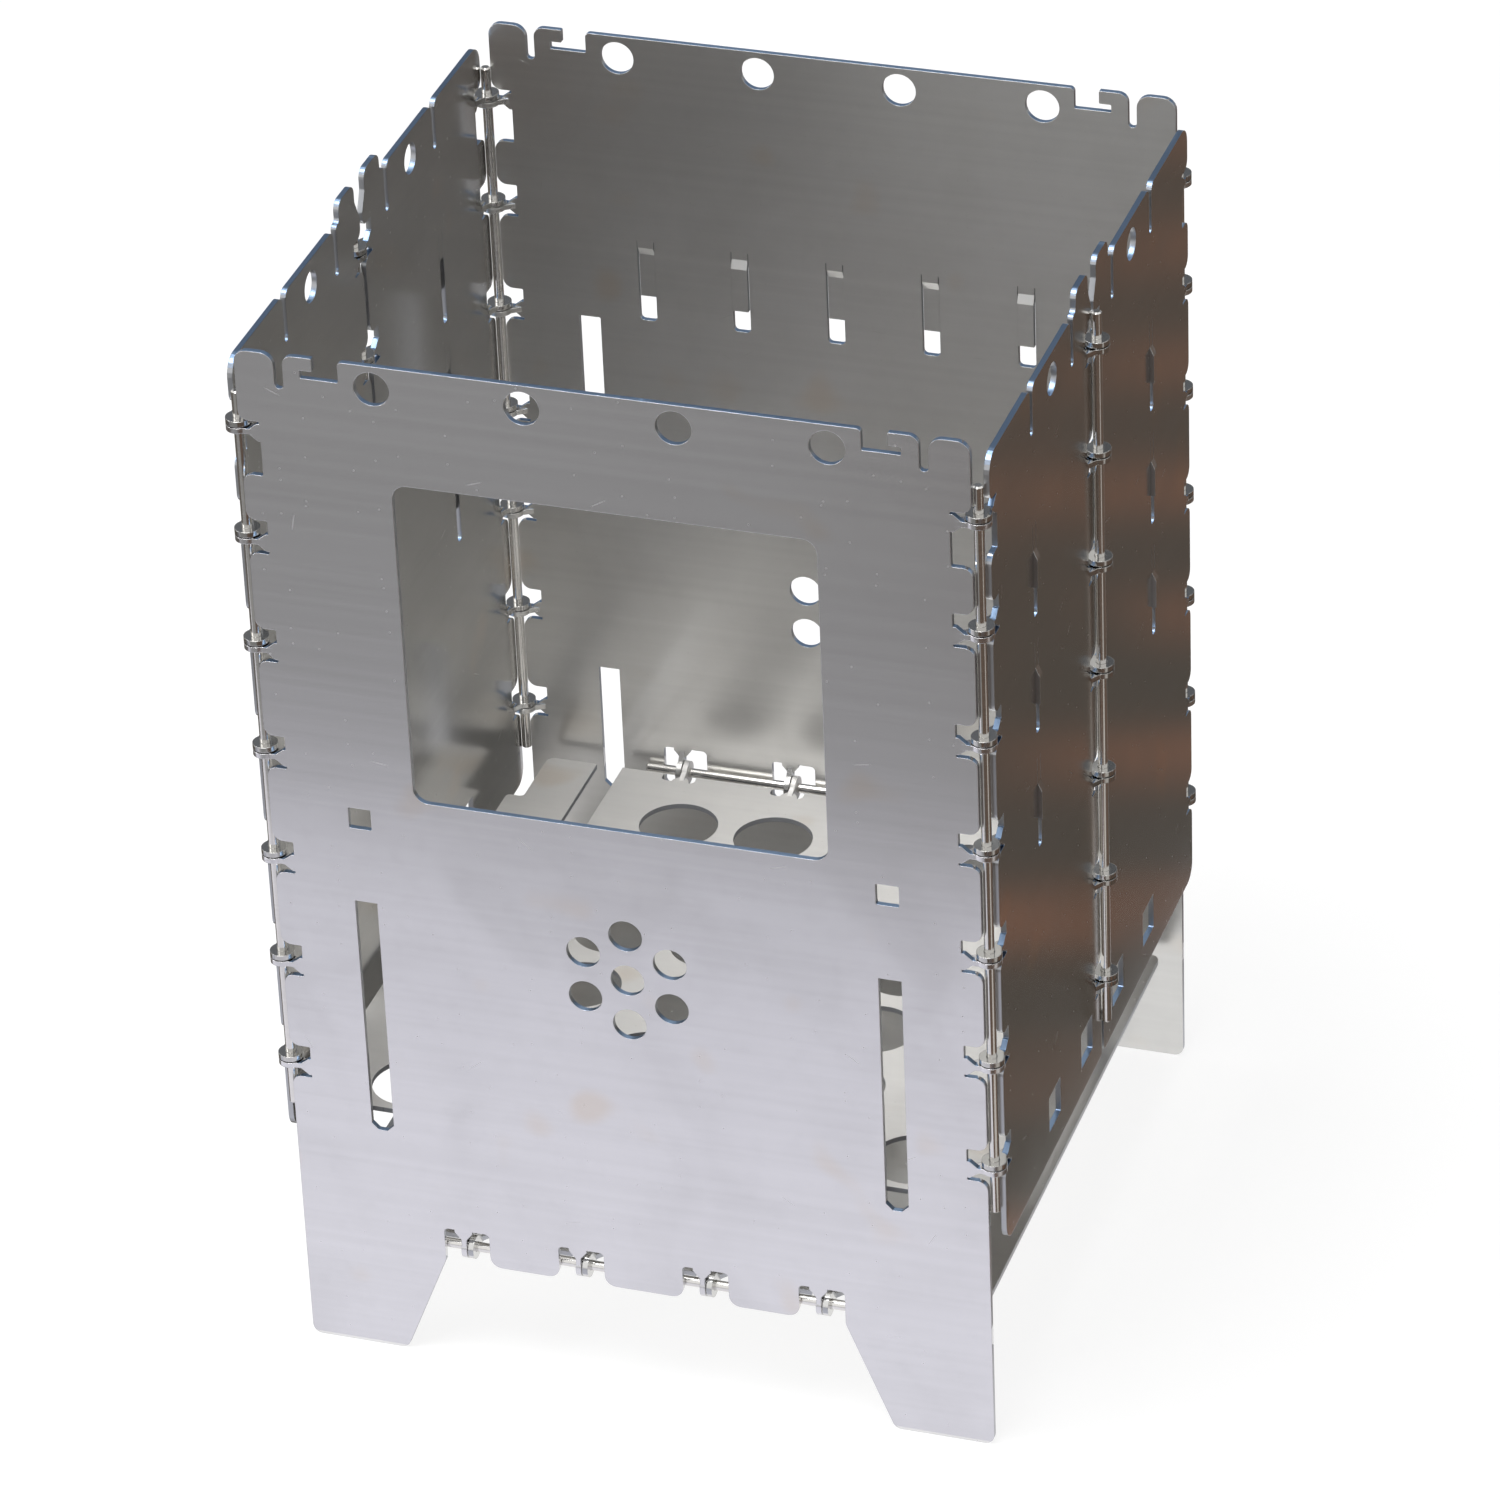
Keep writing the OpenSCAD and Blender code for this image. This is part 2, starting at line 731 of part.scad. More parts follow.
module ash_plate() {
    color("slategray")
        mirror([0, 1, 0])
            swing_plate([[ash_x, -ash_rear, plate_r], [ash_x, -ash_front, plate_r]], ash_rod_z);
}

front_panel();
back_panel();
left_front_wall();
left_rear_wall();
right_front_wall();
right_rear_wall();
front_left_rod();
front_right_rod();
back_left_rod();
back_right_rod();
left_mid_rod();
right_mid_rod();
fire_grate();
grate_rod();
ash_plate();
ash_rod();
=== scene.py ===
# %% [markdown]
# # A folding twig stove in stainless sheet
#
# The stove is eight thin sheets of stainless steel on eight hinge rods. Its shape is already exact in the
# imported CAD model, so this lesson adds what the solids lack: the finish of the rolled sheet, the blue-grey
# cut edges, the polished rods, and a plain white studio in which steel looks like steel.
#
# The model is loaded first, and each part keeps where it stands; nothing that follows changes the stove's
# size.

# %% Load the imported stove
import math
import bpy
import numpy as np
from mathutils import Matrix, Vector

MM = 0.001

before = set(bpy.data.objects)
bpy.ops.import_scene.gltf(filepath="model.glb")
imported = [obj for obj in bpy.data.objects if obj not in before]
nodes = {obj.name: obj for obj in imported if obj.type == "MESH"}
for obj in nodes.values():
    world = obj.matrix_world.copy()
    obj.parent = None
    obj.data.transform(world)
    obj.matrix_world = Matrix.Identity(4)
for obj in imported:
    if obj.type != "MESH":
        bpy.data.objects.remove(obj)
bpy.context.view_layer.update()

# %% [markdown]
# ## Nodes in a few words
#
# Every finish below is a tree of shader nodes. A few helpers keep the trees readable: one adds a node with
# its settings and its fixed inputs, two do arithmetic on numbers and vectors, and one makes an empty group
# with named sockets, which is how an effect is built once and then used by several finishes. The Standard
# view keeps colours as they are written.

# %% Helpers for shader trees
bpy.context.scene.view_settings.view_transform = "Standard"


def add(tree, kind, inputs=(), **settings):
    """Adds a node; inputs pairs a socket's name or number with a value or with the output that feeds it."""
    node = tree.nodes.new("ShaderNode" + kind)
    for name, value in settings.items():
        setattr(node, name, value)
    for socket, value in dict(inputs).items():
        if isinstance(value, bpy.types.NodeSocket):
            tree.links.new(value, node.inputs[socket])
        else:
            node.inputs[socket].default_value = value
    return node


def math_node(tree, operation, *values, clamp=False):
    """One arithmetic step on numbers or outputs; returns its output."""
    return add(tree, "Math", enumerate(values), operation=operation, use_clamp=clamp).outputs[0]


def vector_node(tree, operation, *values):
    """One step on vectors; returns its vector, or its number where the step gives one."""
    node = add(tree, "VectorMath", enumerate(values), operation=operation)
    return node.outputs["Value" if operation in ("DOT_PRODUCT", "DISTANCE", "LENGTH") else "Vector"]


def step_up(tree, value, low, high):
    """A smooth step: 0 below low, 1 above high."""
    node = add(tree, "MapRange", {"Value": value, "From Min": low, "From Max": high},
               interpolation_type="SMOOTHSTEP")
    return node.outputs["Result"]


def step_down(tree, value, low, high):
    """A smooth step: 1 below low, 0 above high."""
    return math_node(tree, "SUBTRACT", 1.0, step_up(tree, value, low, high))


def new_group(name, inputs, outputs):
    """An empty shader group with named sockets; returns the group, its input node and its output node."""
    group = bpy.data.node_groups.new(name, "ShaderNodeTree")
    for socket, kind in inputs.items():
        group.interface.new_socket(socket, in_out="INPUT", socket_type="NodeSocket" + kind)
    for socket, kind in outputs.items():
        group.interface.new_socket(socket, in_out="OUTPUT", socket_type="NodeSocket" + kind)
    return group, group.nodes.new("NodeGroupInput"), group.nodes.new("NodeGroupOutput")


print("helpers ready, view:", bpy.context.scene.view_settings.view_transform)

# %% [markdown]
# ## The rolled sheet
#
# Cold-rolled sheet carries faint parallel lines from the rolls, and it is never quite flat: a slow waviness
# bends what it mirrors. The lines are noise that is drawn out along one direction by stretching the
# coordinates, and the waviness is slow noise with no direction. A painted texture would need a file, and
# noise in object coordinates stays sharp at any distance.

# %% Group: lines and waviness of rolled sheet
grain, g_in, g_out = new_group("rolled sheet", {"Coordinates": "Vector", "Stretch": "Vector"},
                               {"Lines": "Float", "Wave": "Float"})
drawn = vector_node(grain, "MULTIPLY", g_in.outputs["Coordinates"], g_in.outputs["Stretch"])
lines = add(grain, "TexNoise", {"Vector": drawn, "Scale": 1.0, "Detail": 1.0, "Roughness": 0.5})
wave = add(grain, "TexNoise", {"Vector": g_in.outputs["Coordinates"], "Scale": 22.0, "Detail": 1.0})
grain.links.new(lines.outputs["Fac"], g_out.inputs["Lines"])
grain.links.new(wave.outputs["Fac"], g_out.inputs["Wave"])
print(grain.name, "gives", [s.name for s in g_out.inputs if s.name])

# %% [markdown]
# ## Marks of handling
#
# A stove that has been folded and packed shows cloudy smudges, small specks, a few short scratches and, from
# the fire, faint straw-coloured stains. Smudges and stains are noise between two limits. Specks are the
# middles of scattered cells, of which only some are kept. A scratch is a thin, short band through the middle
# of a larger cell, turned by the cell's own random colour. The cells lie in the sheet, so they get the
# sheet's two coordinates: cells in space would mostly miss it.

# %% Group: smudges, stains, specks and scratches
marks, m_in, m_out = new_group("handling marks",
                               {"Coordinates": "Vector", "Sheet": "Vector", "Amount": "Float"},
                               {"Smudge": "Float", "Stain": "Float", "Speck": "Float", "Scratch": "Float"})
where, in_sheet = m_in.outputs["Coordinates"], m_in.outputs["Sheet"]

cloud = add(marks, "TexNoise", {"Vector": where, "Scale": 34.0, "Detail": 2.5, "Roughness": 0.5,
                                "Distortion": 0.5}).outputs["Fac"]
mottle = add(marks, "TexNoise", {"Vector": where, "Scale": 210.0, "Detail": 2.0,
                                 "Roughness": 0.6}).outputs["Fac"]
smudge = math_node(marks, "MULTIPLY_ADD", step_up(marks, mottle, 0.45, 0.75), 0.2,
                   math_node(marks, "MULTIPLY", step_up(marks, cloud, 0.38, 0.76), 0.8))
patches = add(marks, "TexNoise", {"Vector": where, "Scale": 52.0, "Detail": 1.0}).outputs["Fac"]
stain = step_up(marks, patches, 0.64, 0.8)

cells = add(marks, "TexVoronoi", {"Vector": in_sheet, "Scale": 190.0}, voronoi_dimensions="2D")
dot = step_down(marks, cells.outputs["Distance"], 0.012, 0.05)
lot = add(marks, "SeparateColor", {"Color": cells.outputs["Color"]})
speck = math_node(marks, "MULTIPLY", dot, math_node(marks, "GREATER_THAN", lot.outputs["Red"], 0.75))

fields = add(marks, "TexVoronoi", {"Vector": in_sheet, "Scale": 46.0}, voronoi_dimensions="2D")
offset = vector_node(marks, "SUBTRACT", in_sheet, fields.outputs["Position"])
spread = vector_node(marks, "SUBTRACT", fields.outputs["Color"], (0.5, 0.5, 0.5))
aside = vector_node(marks, "NORMALIZE", vector_node(marks, "MULTIPLY", spread, (0.5, 1.0, 0.0)))
width = math_node(marks, "ABSOLUTE", vector_node(marks, "DOT_PRODUCT", offset, aside))
thin = step_down(marks, width, 0.04 * MM, 0.13 * MM)
short = step_down(marks, vector_node(marks, "LENGTH", offset), 0.6 * MM, 2.2 * MM)
draw = add(marks, "SeparateColor", {"Color": fields.outputs["Color"]})
few = math_node(marks, "GREATER_THAN", draw.outputs["Blue"], 0.7)
scratch = math_node(marks, "MULTIPLY", math_node(marks, "MULTIPLY", thin, short), few)

for name, value in (("Smudge", smudge), ("Stain", stain), ("Speck", speck), ("Scratch", scratch)):
    marks.links.new(math_node(marks, "MULTIPLY", value, m_in.outputs["Amount"]), m_out.inputs[name])
print(marks.name, "gives", [s.name for s in m_out.inputs if s.name])

# %% [markdown]
# ## Cut edges and eyes
#
# The cutting beam leaves a narrow, duller, grey band on the sheet's edge. On edges that look up the finish
# paints
# a blue that stands for mirrored sky: a painted reflection. The hinge eyes are the bright sheet itself,
# twisted a
# quarter turn and drilled for a rod. Both can be told from where a point lies and which way it faces: an edge
# looks across the sheet's own direction, and an eye stands off the sheet's middle plane or looks along the rod
# that runs through it. The stove is the same on both sides, so four rods do.

# %% Group: which part of a sheet a point is on
ALONG_X, ALONG_Y, ALONG_Z = (1, 0, 0), (0, 1, 0), (0, 0, 1)
EYE_RODS = {"front_right_rod": ALONG_Z, "right_mid_rod": ALONG_Z, "grate_rod": ALONG_X, "ash_rod": ALONG_X}
EYE_REACH, STRIP_REACH = 3 * MM, 5 * MM

parts, p_in, p_out = new_group("edge and eye", {"Coordinates": "Vector", "Normal": "Vector", "Face": "Vector",
                                                "Plane": "Float"},
                               {"Edge": "Float", "Sky Edge": "Float", "Eye": "Float"})
at_point, normal, face_way = (p_in.outputs[name] for name in ("Coordinates", "Normal", "Face"))


def eye_part(tree, at, off_plane, rod, along):
    """1 where the surface is part of an eye: it stands off the sheet's plane close to a rod, or looks along
    that rod closer still."""
    across = 1.0 - np.array(along)
    middle = np.abs(np.mean(np.array(nodes[rod].bound_box), axis=0)) * across
    gap = vector_node(tree, "DISTANCE", vector_node(tree, "MULTIPLY", at, across), middle)
    look = math_node(tree, "ABSOLUTE", vector_node(tree, "DOT_PRODUCT", normal, along))
    turned = math_node(tree, "MULTIPLY", math_node(tree, "LESS_THAN", gap, EYE_REACH),
                       step_up(tree, look, 0.8, 0.95))
    twisted = math_node(tree, "MULTIPLY", math_node(tree, "LESS_THAN", gap, STRIP_REACH), off_plane)
    return math_node(tree, "MAXIMUM", turned, twisted)


facing = math_node(parts, "ABSOLUTE", vector_node(parts, "DOT_PRODUCT", normal, face_way))
depth = math_node(parts, "ABSOLUTE", vector_node(parts, "DOT_PRODUCT", at_point, face_way))
stand = math_node(parts, "ABSOLUTE", math_node(parts, "SUBTRACT", depth, p_in.outputs["Plane"]))
off_plane = step_up(parts, stand, 0.65 * MM, 0.9 * MM)
halved = vector_node(parts, "ABSOLUTE", at_point)
eye = 0.0
for rod, along in EYE_RODS.items():
    eye = math_node(parts, "MAXIMUM", eye, eye_part(parts, halved, off_plane, rod, along))
not_eye = math_node(parts, "SUBTRACT", 1.0, eye)
edge = math_node(parts, "MULTIPLY", step_down(parts, facing, 0.3, 0.7), not_eye)
# Edges that look up get a painted blue sky reflection in the sheet finish.
lean = add(parts, "SeparateXYZ", {"Vector": normal}).outputs["Z"]
sky_edge = math_node(parts, "MULTIPLY", edge, step_up(parts, lean, 0.4, 0.8))
for name, value in (("Edge", edge), ("Sky Edge", sky_edge), ("Eye", eye)):
    parts.links.new(value, p_out.inputs[name])
print(parts.name, "gives", [s.name for s in p_out.inputs if s.name])

# %% [markdown]
# ## The sheet finishes
#
# All sheets are stainless steel, so one function makes every sheet finish and only the numbers differ: the
# steel's two tones, the way the sheet faces, where its middle plane lies, how the rolling lines run, how dull
# it is and how much it has been handled. The shader itself stays in the material. Steel's own colour is a
# pale grey of about seven tenths, and what makes it dark or light is what it mirrors. Specks and scratches
# are rough spots, so they look light where the sheet mirrors something dark and dark where it mirrors
# something light. The Bevel node rounds the sharp edges for the light only, as a little wear does.

# %% Make a sheet finish
COOL_STEEL = ((0.65, 0.645, 0.655, 1.0), (0.77, 0.765, 0.78, 1.0))
WARM_STEEL = ((0.63, 0.625, 0.61, 1.0), (0.76, 0.755, 0.74, 1.0))
WALL_STEEL = ((0.505, 0.50, 0.485, 1.0), (0.61, 0.605, 0.59, 1.0))
# Painted light: a paler copy of the same steel for the grate, standing for light from above.
PAINTED_LIT_STEEL = ((0.76, 0.75, 0.735, 1.0), (0.85, 0.84, 0.82, 1.0))
CUT_GREY = (0.44, 0.45, 0.47, 1.0)
# Painted reflection: a sky blue put on cut edges that look up.
PAINTED_SKY_BLUE = (0.24, 0.34, 0.50, 1.0)
STRAW = (0.70, 0.60, 0.49, 1.0)
EDGE_WEAR, WAVE_HEIGHT = 0.22 * MM, 0.02 * MM


def mix_colour(tree, share, first, second):
    """Blends two colours; share 0 gives the first and 1 the second."""
    return add(tree, "Mix", {0: share, 6: first, 7: second}, data_type="RGBA").outputs[2]


def add_up(tree, start, *terms):
    """start plus each output times its factor, kept between 0 and 1."""
    for output, factor in terms:
        start = math_node(tree, "MULTIPLY_ADD", output, factor, start, clamp=True)
    return start


def steel_material(name):
    """A new metal; returns the material, its tree, its shader and its Texture Coordinate node."""
    material = bpy.data.materials.new(name)
    material.use_nodes = True
    tree = material.node_tree
    steel = tree.nodes["Principled BSDF"]
    steel.inputs["Metallic"].default_value = 1.0
    return material, tree, steel, add(tree, "TexCoord")


def sheet_finish(name, steel_tones, face, plane, stretch, dull, handled):
    """Stainless sheet that faces along face at distance plane, rolled across stretch's largest part."""
    material, tree, steel, place = steel_material(name)
    at = place.outputs["Object"]
    axes = add(tree, "SeparateXYZ", {"Vector": at})
    in_sheet = add(tree, "CombineXYZ", {"X": axes.outputs["Y" if face == ALONG_X else "X"],
                                        "Y": axes.outputs["Y" if face == ALONG_Z else "Z"]}).outputs[0]
    roll = add(tree, "Group", {"Coordinates": at, "Stretch": stretch}, node_tree=grain)
    wear = add(tree, "Group", {"Coordinates": at, "Sheet": in_sheet, "Amount": handled}, node_tree=marks)
    part = add(tree, "Group", {"Coordinates": at, "Normal": place.outputs["Normal"], "Face": face,
                               "Plane": plane}, node_tree=parts)
    tone = add_up(tree, 0.35, (roll.outputs["Lines"], 0.5), (wear.outputs["Smudge"], -0.5))
    colour = mix_colour(tree, tone, *steel_tones)
    colour = mix_colour(tree, math_node(tree, "MULTIPLY", wear.outputs["Stain"], 0.45), colour, STRAW)
    colour = mix_colour(tree, part.outputs["Edge"], colour, CUT_GREY)
    # painted reflection: edges that look up are coloured sky blue
    colour = mix_colour(tree, part.outputs["Sky Edge"], colour, PAINTED_SKY_BLUE)
    tree.links.new(colour, steel.inputs["Base Color"])
    rough_spot = math_node(tree, "MAXIMUM", wear.outputs["Speck"], wear.outputs["Scratch"])
    rough = add_up(tree, dull, (wear.outputs["Smudge"], 0.05), (roll.outputs["Lines"], 0.03),
                   (rough_spot, 0.3), (part.outputs["Edge"], 0.14), (part.outputs["Eye"], -0.04))
    tree.links.new(rough, steel.inputs["Roughness"])
    not_eye = math_node(tree, "SUBTRACT", 1.0, part.outputs["Eye"])
    height = math_node(tree, "MULTIPLY", roll.outputs["Wave"], not_eye)
    worn = add(tree, "Bevel", {"Radius": EDGE_WEAR}, samples=4)
    bump = add(tree, "Bump", {"Height": height, "Strength": 1.0, "Distance": WAVE_HEIGHT,
                              "Normal": worn.outputs["Normal"]})
    tree.links.new(bump.outputs["Normal"], steel.inputs["Normal"])
    return material


print("steel tones from", COOL_STEEL[0][:3], "to", PAINTED_LIT_STEEL[1][:3])

# %% [markdown]
# ## One finish for each kind of sheet
#
# The walls are the smoothest sheets and mirror most sharply, the front panel and the ash plate are a little
# duller, the back panel more so, and the fire has left the grate matt; its paler steel is painted light from
# above. The middle planes are measured
# from the stove's middle, or from the floor for the two plates, and the lines run level on every sheet.

# %% Make the five sheet finishes
PANEL_PLANE, WALL_PLANE, GRATE_PLANE, ASH_PLANE = 76.15 * MM, 79.853 * MM, 58.8 * MM, 28.3 * MM
LINES_ON_UPRIGHT, LINES_ON_PLATE = (5, 5, 640), (5, 640, 5)

finishes = {
    "front_panel": sheet_finish("front sheet", COOL_STEEL, ALONG_Y, PANEL_PLANE, LINES_ON_UPRIGHT, 0.20, 1.0),
    "back_panel": sheet_finish("back sheet", WARM_STEEL, ALONG_Y, PANEL_PLANE, LINES_ON_UPRIGHT, 0.29, 1.0),
    # the grate's paler steel is painted light from the lamp above
    "fire_grate": sheet_finish("grate sheet", PAINTED_LIT_STEEL, ALONG_Z, GRATE_PLANE, LINES_ON_PLATE, 0.66, 0.8),
    "ash_plate": sheet_finish("ash sheet", WARM_STEEL, ALONG_Z, ASH_PLANE, LINES_ON_PLATE, 0.20, 0.8),
}
wall = sheet_finish("wall sheet", WALL_STEEL, ALONG_X, WALL_PLANE, LINES_ON_UPRIGHT, 0.15, 0.8)
finishes.update({name: wall for name in nodes if name.endswith("_wall")})
print(len(finishes), "sheets,", len(set(finishes.values())), "finishes")

# %% [markdown]
# ## The rods
#
# The rods are drawn wire: brighter than the sheet, with very fine rings. The rings are noise that changes
# fast along the rod and hardly at all across it. Upright rods and the two rods that lie along X differ only
# in that direction.

# %% Make the rod finishes
ROD_DARK = (0.70, 0.685, 0.66, 1.0)
ROD_PALE = (0.80, 0.785, 0.76, 1.0)
RING_HEIGHT = 0.002 * MM
ROD_HANDLED = 0.8


def rod_finish(name, stretch):
    """Polished drawn wire whose fine rings follow stretch's largest part."""
    material, tree, steel, place = steel_material(name)
    at = place.outputs["Object"]
    roll = add(tree, "Group", {"Coordinates": at, "Stretch": stretch}, node_tree=grain)
    wear = add(tree, "Group", {"Coordinates": at, "Sheet": at, "Amount": ROD_HANDLED}, node_tree=marks)
    tone = add_up(tree, roll.outputs["Lines"], (wear.outputs["Smudge"], -0.6))
    tree.links.new(mix_colour(tree, tone, ROD_DARK, ROD_PALE), steel.inputs["Base Color"])
    rough = add_up(tree, 0.09, (roll.outputs["Lines"], 0.06), (wear.outputs["Smudge"], 0.08))
    tree.links.new(rough, steel.inputs["Roughness"])
    bump = add(tree, "Bump", {"Height": roll.outputs["Lines"], "Strength": 1.0, "Distance": RING_HEIGHT})
    tree.links.new(bump.outputs["Normal"], steel.inputs["Normal"])
    return material


upright = rod_finish("upright rod wire", (60, 60, 2600))
lying = rod_finish("plate rod wire", (2600, 60, 60))
for name in nodes:
    if name.endswith("_rod"):
        finishes[name] = lying if name in ("grate_rod", "ash_rod") else upright
for name, material in finishes.items():
    nodes[name].data.materials.clear()
    nodes[name].data.materials.append(material)
print("finished", sorted(finishes))

# %% [markdown]
# ## Camera
#
# The picture was taken from the front right and above with a long lens, which keeps the uprights nearly
# parallel. A camera is four facts: where it stands, how far it is turned and raised, how far it is rolled
# about its own axis, and its lens. The three axes of a camera in Blender are right, up and backward.

# %% Place the camera
TURN, RISE, ROLL = 0.338029, 0.553927, 0.043376
STAND = Vector((0.460701, -1.304198, 0.970989))
SENSOR_MM, LENS_MM = 36.0, 180.97

forward = np.array([-math.sin(TURN) * math.cos(RISE), math.cos(TURN) * math.cos(RISE), -math.sin(RISE)])
level = np.array([math.cos(TURN), math.sin(TURN), 0.0])
down = np.cross(forward, level)
right = math.cos(ROLL) * level + math.sin(ROLL) * down
up = math.sin(ROLL) * level - math.cos(ROLL) * down
lens = bpy.data.cameras.new("camera")
lens.sensor_width, lens.lens = SENSOR_MM, LENS_MM
lens.clip_start, lens.clip_end = 0.05, 50.0
camera = bpy.data.objects.new("camera", lens)
pose = Matrix(np.stack([right, up, -forward], 1).tolist()).to_4x4()
pose.translation = STAND
camera.matrix_world = pose
bpy.context.scene.collection.objects.link(camera)
bpy.context.scene.camera = camera
print("camera", [round(c, 3) for c in camera.location], "lens", lens.lens)

# %% [markdown]
# ## Floor and background
#
# The stove stands on a plain pale floor in front of white. For rays that the camera sees, straight or in a
# mirror, the floor gives part of its white itself and the rest from the lamps, so it stays white and still
# shows the stove's soft shadow. The world is white for the same rays and a gentle fill for all others.

# %% Make the floor and the white background
WHITE = (1, 1, 1, 1)
FLOOR_GLOW, WORLD_FILL = 0.8, 0.35
FLOOR_SEEN, FLOOR_PAPER = (0.3, 0.3, 0.3, 1), (0.85, 0.85, 0.85, 1)


def flat_surface(name, corner, along, aside):
    """One flat face of the studio: from corner it reaches along one way and aside the other."""
    corner, along, aside = Vector(corner), Vector(along), Vector(aside)
    mesh = bpy.data.meshes.new(name)
    mesh.from_pydata([corner, corner + along, corner + along + aside, corner + aside], [], [(0, 1, 2, 3)])
    sheet = bpy.data.objects.new(name, mesh)
    bpy.context.scene.collection.objects.link(sheet)
    return sheet


def seen_ray(tree):
    """1 for rays that the camera sees straight, in a mirror or through glass."""
    path = add(tree, "LightPath")
    mirrored = math_node(tree, "MAXIMUM", path.outputs["Is Camera Ray"], path.outputs["Is Glossy Ray"])
    return math_node(tree, "MAXIMUM", mirrored, path.outputs["Is Transmission Ray"])


def empty_tree(owner):
    """The node tree of a material or world, with nothing in it."""
    owner.use_nodes = True
    owner.node_tree.nodes.clear()
    return owner.node_tree


floor = flat_surface("floor", (-6, -6, 0), (12, 0, 0), (0, 12, 0))
paper = bpy.data.materials.new("white paper")
tree = empty_tree(paper)
glow = add(tree, "Emission", {"Color": WHITE, "Strength": FLOOR_GLOW})
matt = add(tree, "BsdfDiffuse", {"Color": FLOOR_SEEN})
plain = add(tree, "BsdfDiffuse", {"Color": FLOOR_PAPER})
white = add(tree, "AddShader", {0: glow.outputs[0], 1: matt.outputs[0]})
chosen = add(tree, "MixShader", {0: seen_ray(tree), 1: plain.outputs[0], 2: white.outputs[0]})
add(tree, "OutputMaterial", {"Surface": chosen.outputs[0]})
floor.data.materials.append(paper)

world = bpy.data.worlds.new("white studio")
bpy.context.scene.world = world
tree = empty_tree(world)
fill = add(tree, "Background", {"Color": WHITE, "Strength": WORLD_FILL})
white = add(tree, "Background", {"Color": WHITE, "Strength": 1.0})
chosen = add(tree, "MixShader", {0: seen_ray(tree), 1: fill.outputs[0], 2: white.outputs[0]})
add(tree, "OutputWorld", {"Surface": chosen.outputs[0]})
print("floor and world are white for seen rays")

# %% [markdown]
# ## Cards for the steel to mirror
#
# Steel shows its surroundings, so a photographer of metal lays cards round it. In front lies a card that goes
# from pale lavender at the stove's feet to grey further off, which gives the front panel its slow change from
# bright below to grey above. Brown planks lie to the right, with a pale strip that draws one bright line down
# each rod, grey-brown boards lie to the left, and a dusky card stands high behind for the top edges and the
# eyes. Only mirrored rays see the cards: they cast no shadow and add no light.

# %% Paints for the cards
PLANK_WAY, PLANK_PITCH, PLANK_PHASE = (0.43, 1.0, 0.0), 71.3 * MM, 35.1 * MM
FRONT_STOPS = [(0.08, (0.93, 0.925, 0.995, 1)), (0.15, (0.885, 0.88, 0.95, 1)),
               (0.2, (0.82, 0.815, 0.885, 1)), (0.268, (0.75, 0.745, 0.81, 1)),
               (0.31, (0.305, 0.305, 0.303, 1)), (0.9, (0.31, 0.308, 0.304, 1))]
REAR_STOPS = [(0.08, (0.88, 0.88, 0.92, 1)), (0.14, (0.8, 0.8, 0.84, 1)), (0.2, (0.30, 0.31, 0.33, 1)),
              (0.42, (0.33, 0.33, 0.34, 1)), (0.8, (0.60, 0.60, 0.61, 1))]


def glowing(name, make_colour):
    """A material that glows evenly in the colour that make_colour builds from Object coordinates."""
    material = bpy.data.materials.new(name)
    tree = empty_tree(material)
    at = add(tree, "TexCoord").outputs["Object"]
    glow = add(tree, "Emission", {"Color": make_colour(tree, at), "Strength": 1.0})
    add(tree, "OutputMaterial", {"Surface": glow.outputs[0]})
    return material


def boards(tone, stripe, spacing, soft):
    """Soft lighter stripes across Y: slow noise along Y, stepped from tone to stripe round a half."""
    def make(tree, at):
        slow = add(tree, "Mapping", {"Vector": at, "Scale": (0.6, 1.0 / spacing, 1.0)}).outputs[0]
        noise = add(tree, "TexNoise", {"Vector": slow, "Scale": 1.0, "Detail": 3.0, "Roughness": 0.7})
        return mix_colour(tree, step_up(tree, noise.outputs["Fac"], 0.5 - soft, 0.5 + soft), tone, stripe)
    return make


def planks(tone, stripe):
    """Soft redder bands at an even pitch: the distance to the nearest band, in shares of the pitch, is
    stepped from stripe to tone and broken up by slow noise."""
    def make(tree, at):
        along = vector_node(tree, "DOT_PRODUCT", at, PLANK_WAY)
        share = math_node(tree, "FRACT", math_node(tree, "MULTIPLY_ADD", along, 1 / PLANK_PITCH,
                                                   10.5 - PLANK_PHASE / PLANK_PITCH))
        away = math_node(tree, "ABSOLUTE", math_node(tree, "SUBTRACT", share, 0.5))
        slow = add(tree, "TexNoise", {"Vector": at, "Scale": 14.0, "Detail": 2.0}).outputs["Fac"]
        band = math_node(tree, "MULTIPLY", step_down(tree, away, 0.02, 0.36), step_up(tree, slow, 0.3, 0.62))
        return mix_colour(tree, band, tone, stripe)
    return make


def graded(way, stops):
    """Colours that follow Y, in front where way is -1 and behind where it is 1: stops pairs a distance in
    metres from the middle with a colour."""
    def make(tree, at):
        y = add(tree, "SeparateXYZ", {"Vector": at}).outputs["Y"]
        ramp = add(tree, "ValToRGB", {"Fac": math_node(tree, "MULTIPLY", y, way)})
        ramp.color_ramp.interpolation = "EASE"
        for place, colour in stops:
            ramp.color_ramp.elements.new(place).color = colour
        return ramp.outputs["Color"]
    return make


front_paint = glowing("front card paint", graded(-1.0, FRONT_STOPS))
brown_paint = glowing("brown card paint", planks((0.101, 0.088, 0.075, 1), (0.236, 0.130, 0.090, 1)))
pale_paint = glowing("pale card paint", boards((0.42, 0.40, 0.38, 1), (0.62, 0.59, 0.56, 1), 0.3, 0.2))
grey_paint = glowing("grey card paint", boards((0.10, 0.093, 0.086, 1), (0.22, 0.20, 0.18, 1), 0.08, 0.16))
rear_paint = glowing("rear card paint", graded(1.0, REAR_STOPS))
dusk_paint = glowing("dusk card paint", boards((0.13, 0.14, 0.155, 1), (0.24, 0.25, 0.27, 1), 0.5, 0.2))
print("card paints", [m.name for m in bpy.data.materials if m.name.endswith("card paint")])

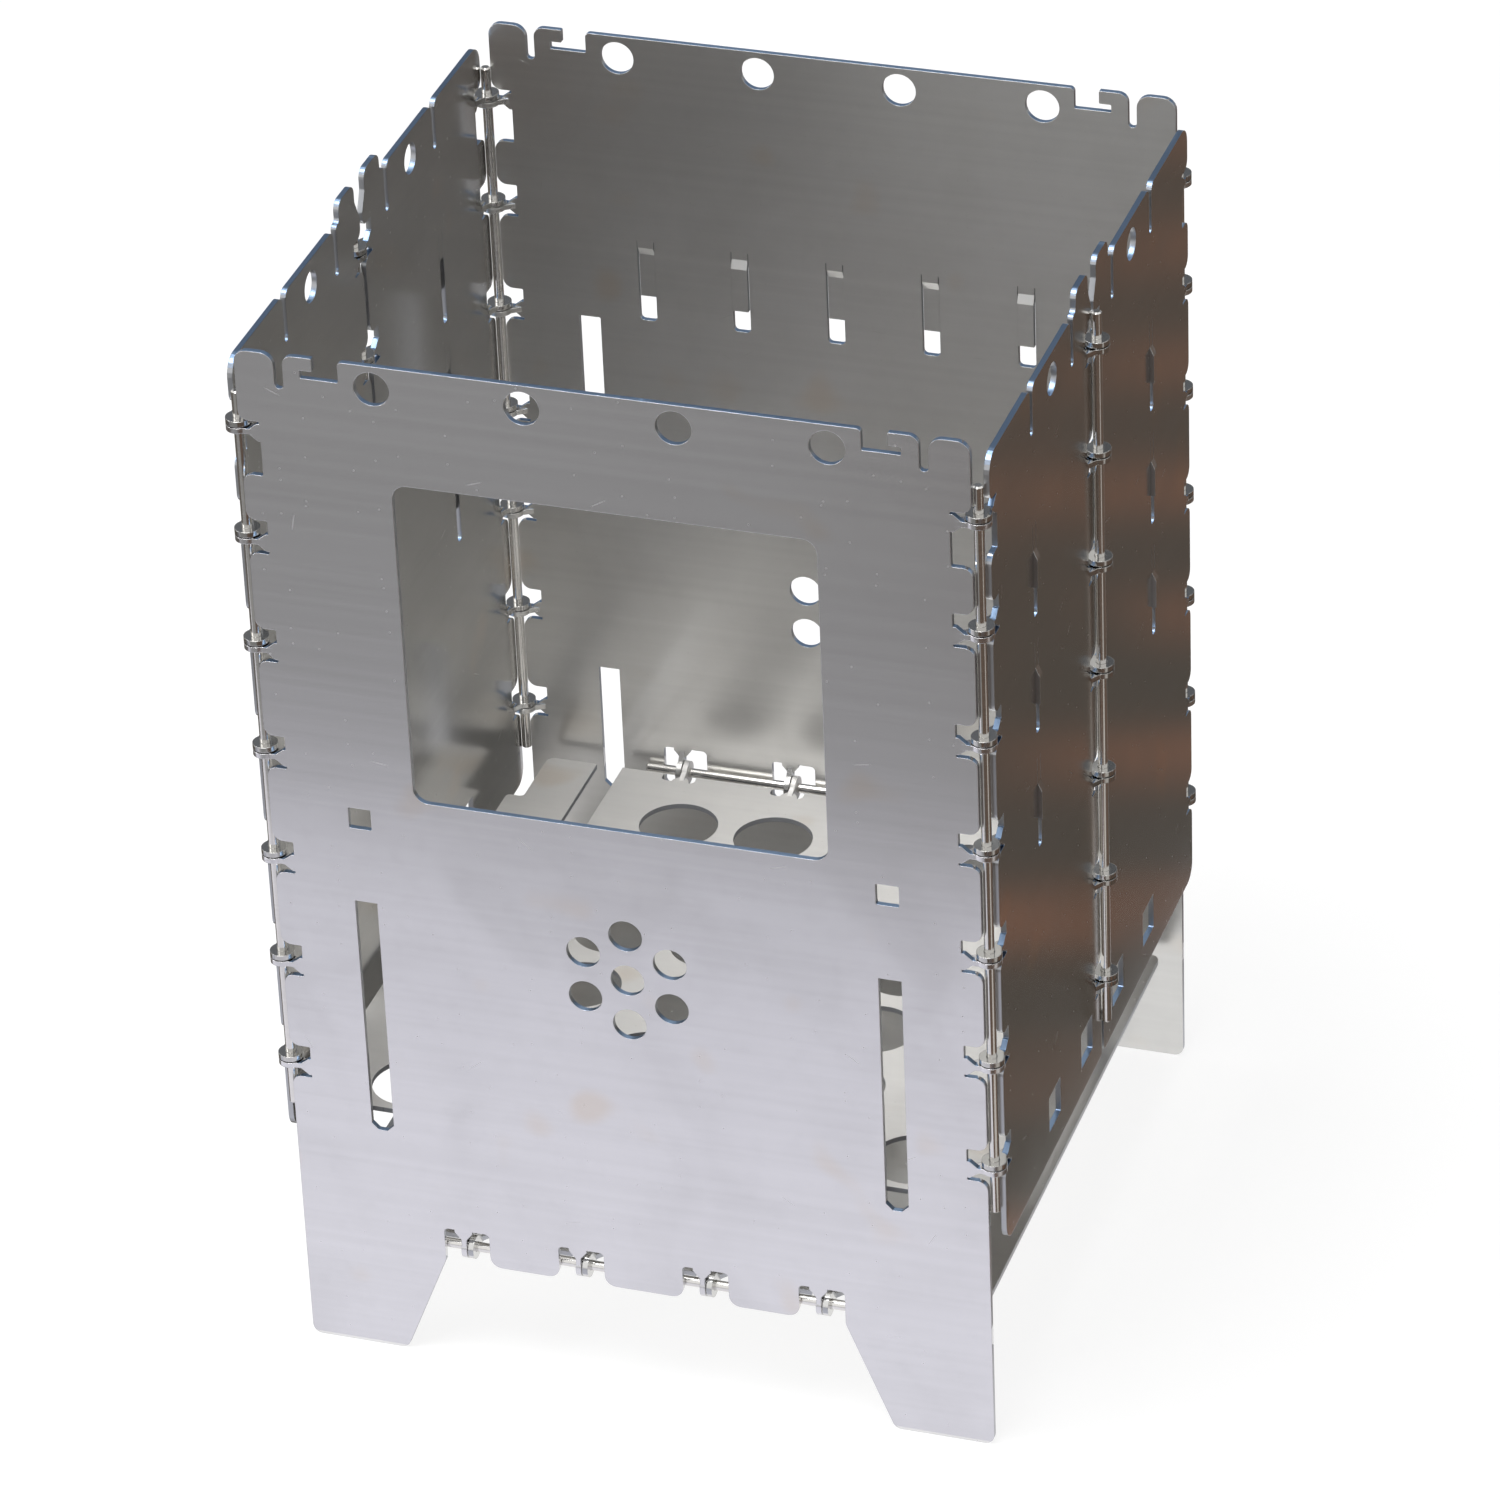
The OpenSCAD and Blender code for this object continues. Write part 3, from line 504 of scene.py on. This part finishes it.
# %% [markdown]
# ## Where the cards lie
#
# From the camera's height, an upright sheet at height z mirrors the floor about one and a half times z away,
# so the cards start close to the stove and reach far past the edge of the picture. They lie at most a
# millimetre above the floor, and where two overlap the upper one shows. The front card slants the way the
# front panel looks, so that the rods beside it keep their dark sides, and a graded card behind gives the back
# panel its own slow change of tone.

# %% Lay the cards
CARDS = [
    ("front card", (-0.975, -2.0, 0.6 * MM), (0.43, 0, 0), (0.675, 1.9232, 0), front_paint),
    ("front left card", (-1.9, -2.0, 0.4 * MM), (1.6, 0, 0), (0, 1.92, 0), grey_paint),
    ("front right card", (-0.6, -2.0, 0.2 * MM), (2.47, 0, 0), (0, 1.92, 0), brown_paint),
    ("pale strip", (0.15, -0.17, 0.6 * MM), (0.4, 0, 0), (0, 0.12, 0), pale_paint),
    ("floor behind", (-0.095, 0.078, 0.6 * MM), (0.19, 0, 0), (0, 1.8, 0), rear_paint),
    ("right card", (0.095, -0.08, 1 * MM), (1.775, 0, 0), (0, 1.9, 0), brown_paint),
    ("left card", (-1.9, -0.08, 1 * MM), (1.805, 0, 0), (0, 1.9, 0), grey_paint),
    ("rear card", (-2.2, 1.3, 0.25), (3.8, 0, 0), (0, 0.3, 1.9), dusk_paint),
]
for name, corner, along, aside, paint in CARDS:
    card = flat_surface(name, corner, along, aside)
    card.data.materials.append(paint)
    card.visible_camera = False
    card.visible_diffuse = False
    card.visible_shadow = False
    card.visible_transmission = False
print(len(CARDS), "cards laid")

# %% [markdown]
# ## Lamps
#
# One large soft lamp hangs almost overhead, so that shadows stay short and soft, and a weaker one from the
# left gives the rods and eyes a bright side. Their strength lights white paper to just about white.

# %% Hang the lamps
LIT_POINT = Vector((0, 0, 0.1))


def soft_lamp(name, place, size, power):
    """A square lamp of a given side in metres that looks at the stove."""
    lamp = bpy.data.lights.new(name, "AREA")
    lamp.shape, lamp.size, lamp.energy = "SQUARE", size, power
    holder = bpy.data.objects.new(name, lamp)
    holder.location = place
    holder.rotation_euler = (LIT_POINT - Vector(place)).to_track_quat("-Z", "Y").to_euler()
    bpy.context.scene.collection.objects.link(holder)


soft_lamp("top lamp", (-0.25, -0.35, 1.7), 1.0, 19.0)
soft_lamp("left lamp", (-1.4, -0.7, 0.7), 0.6, 5.0)
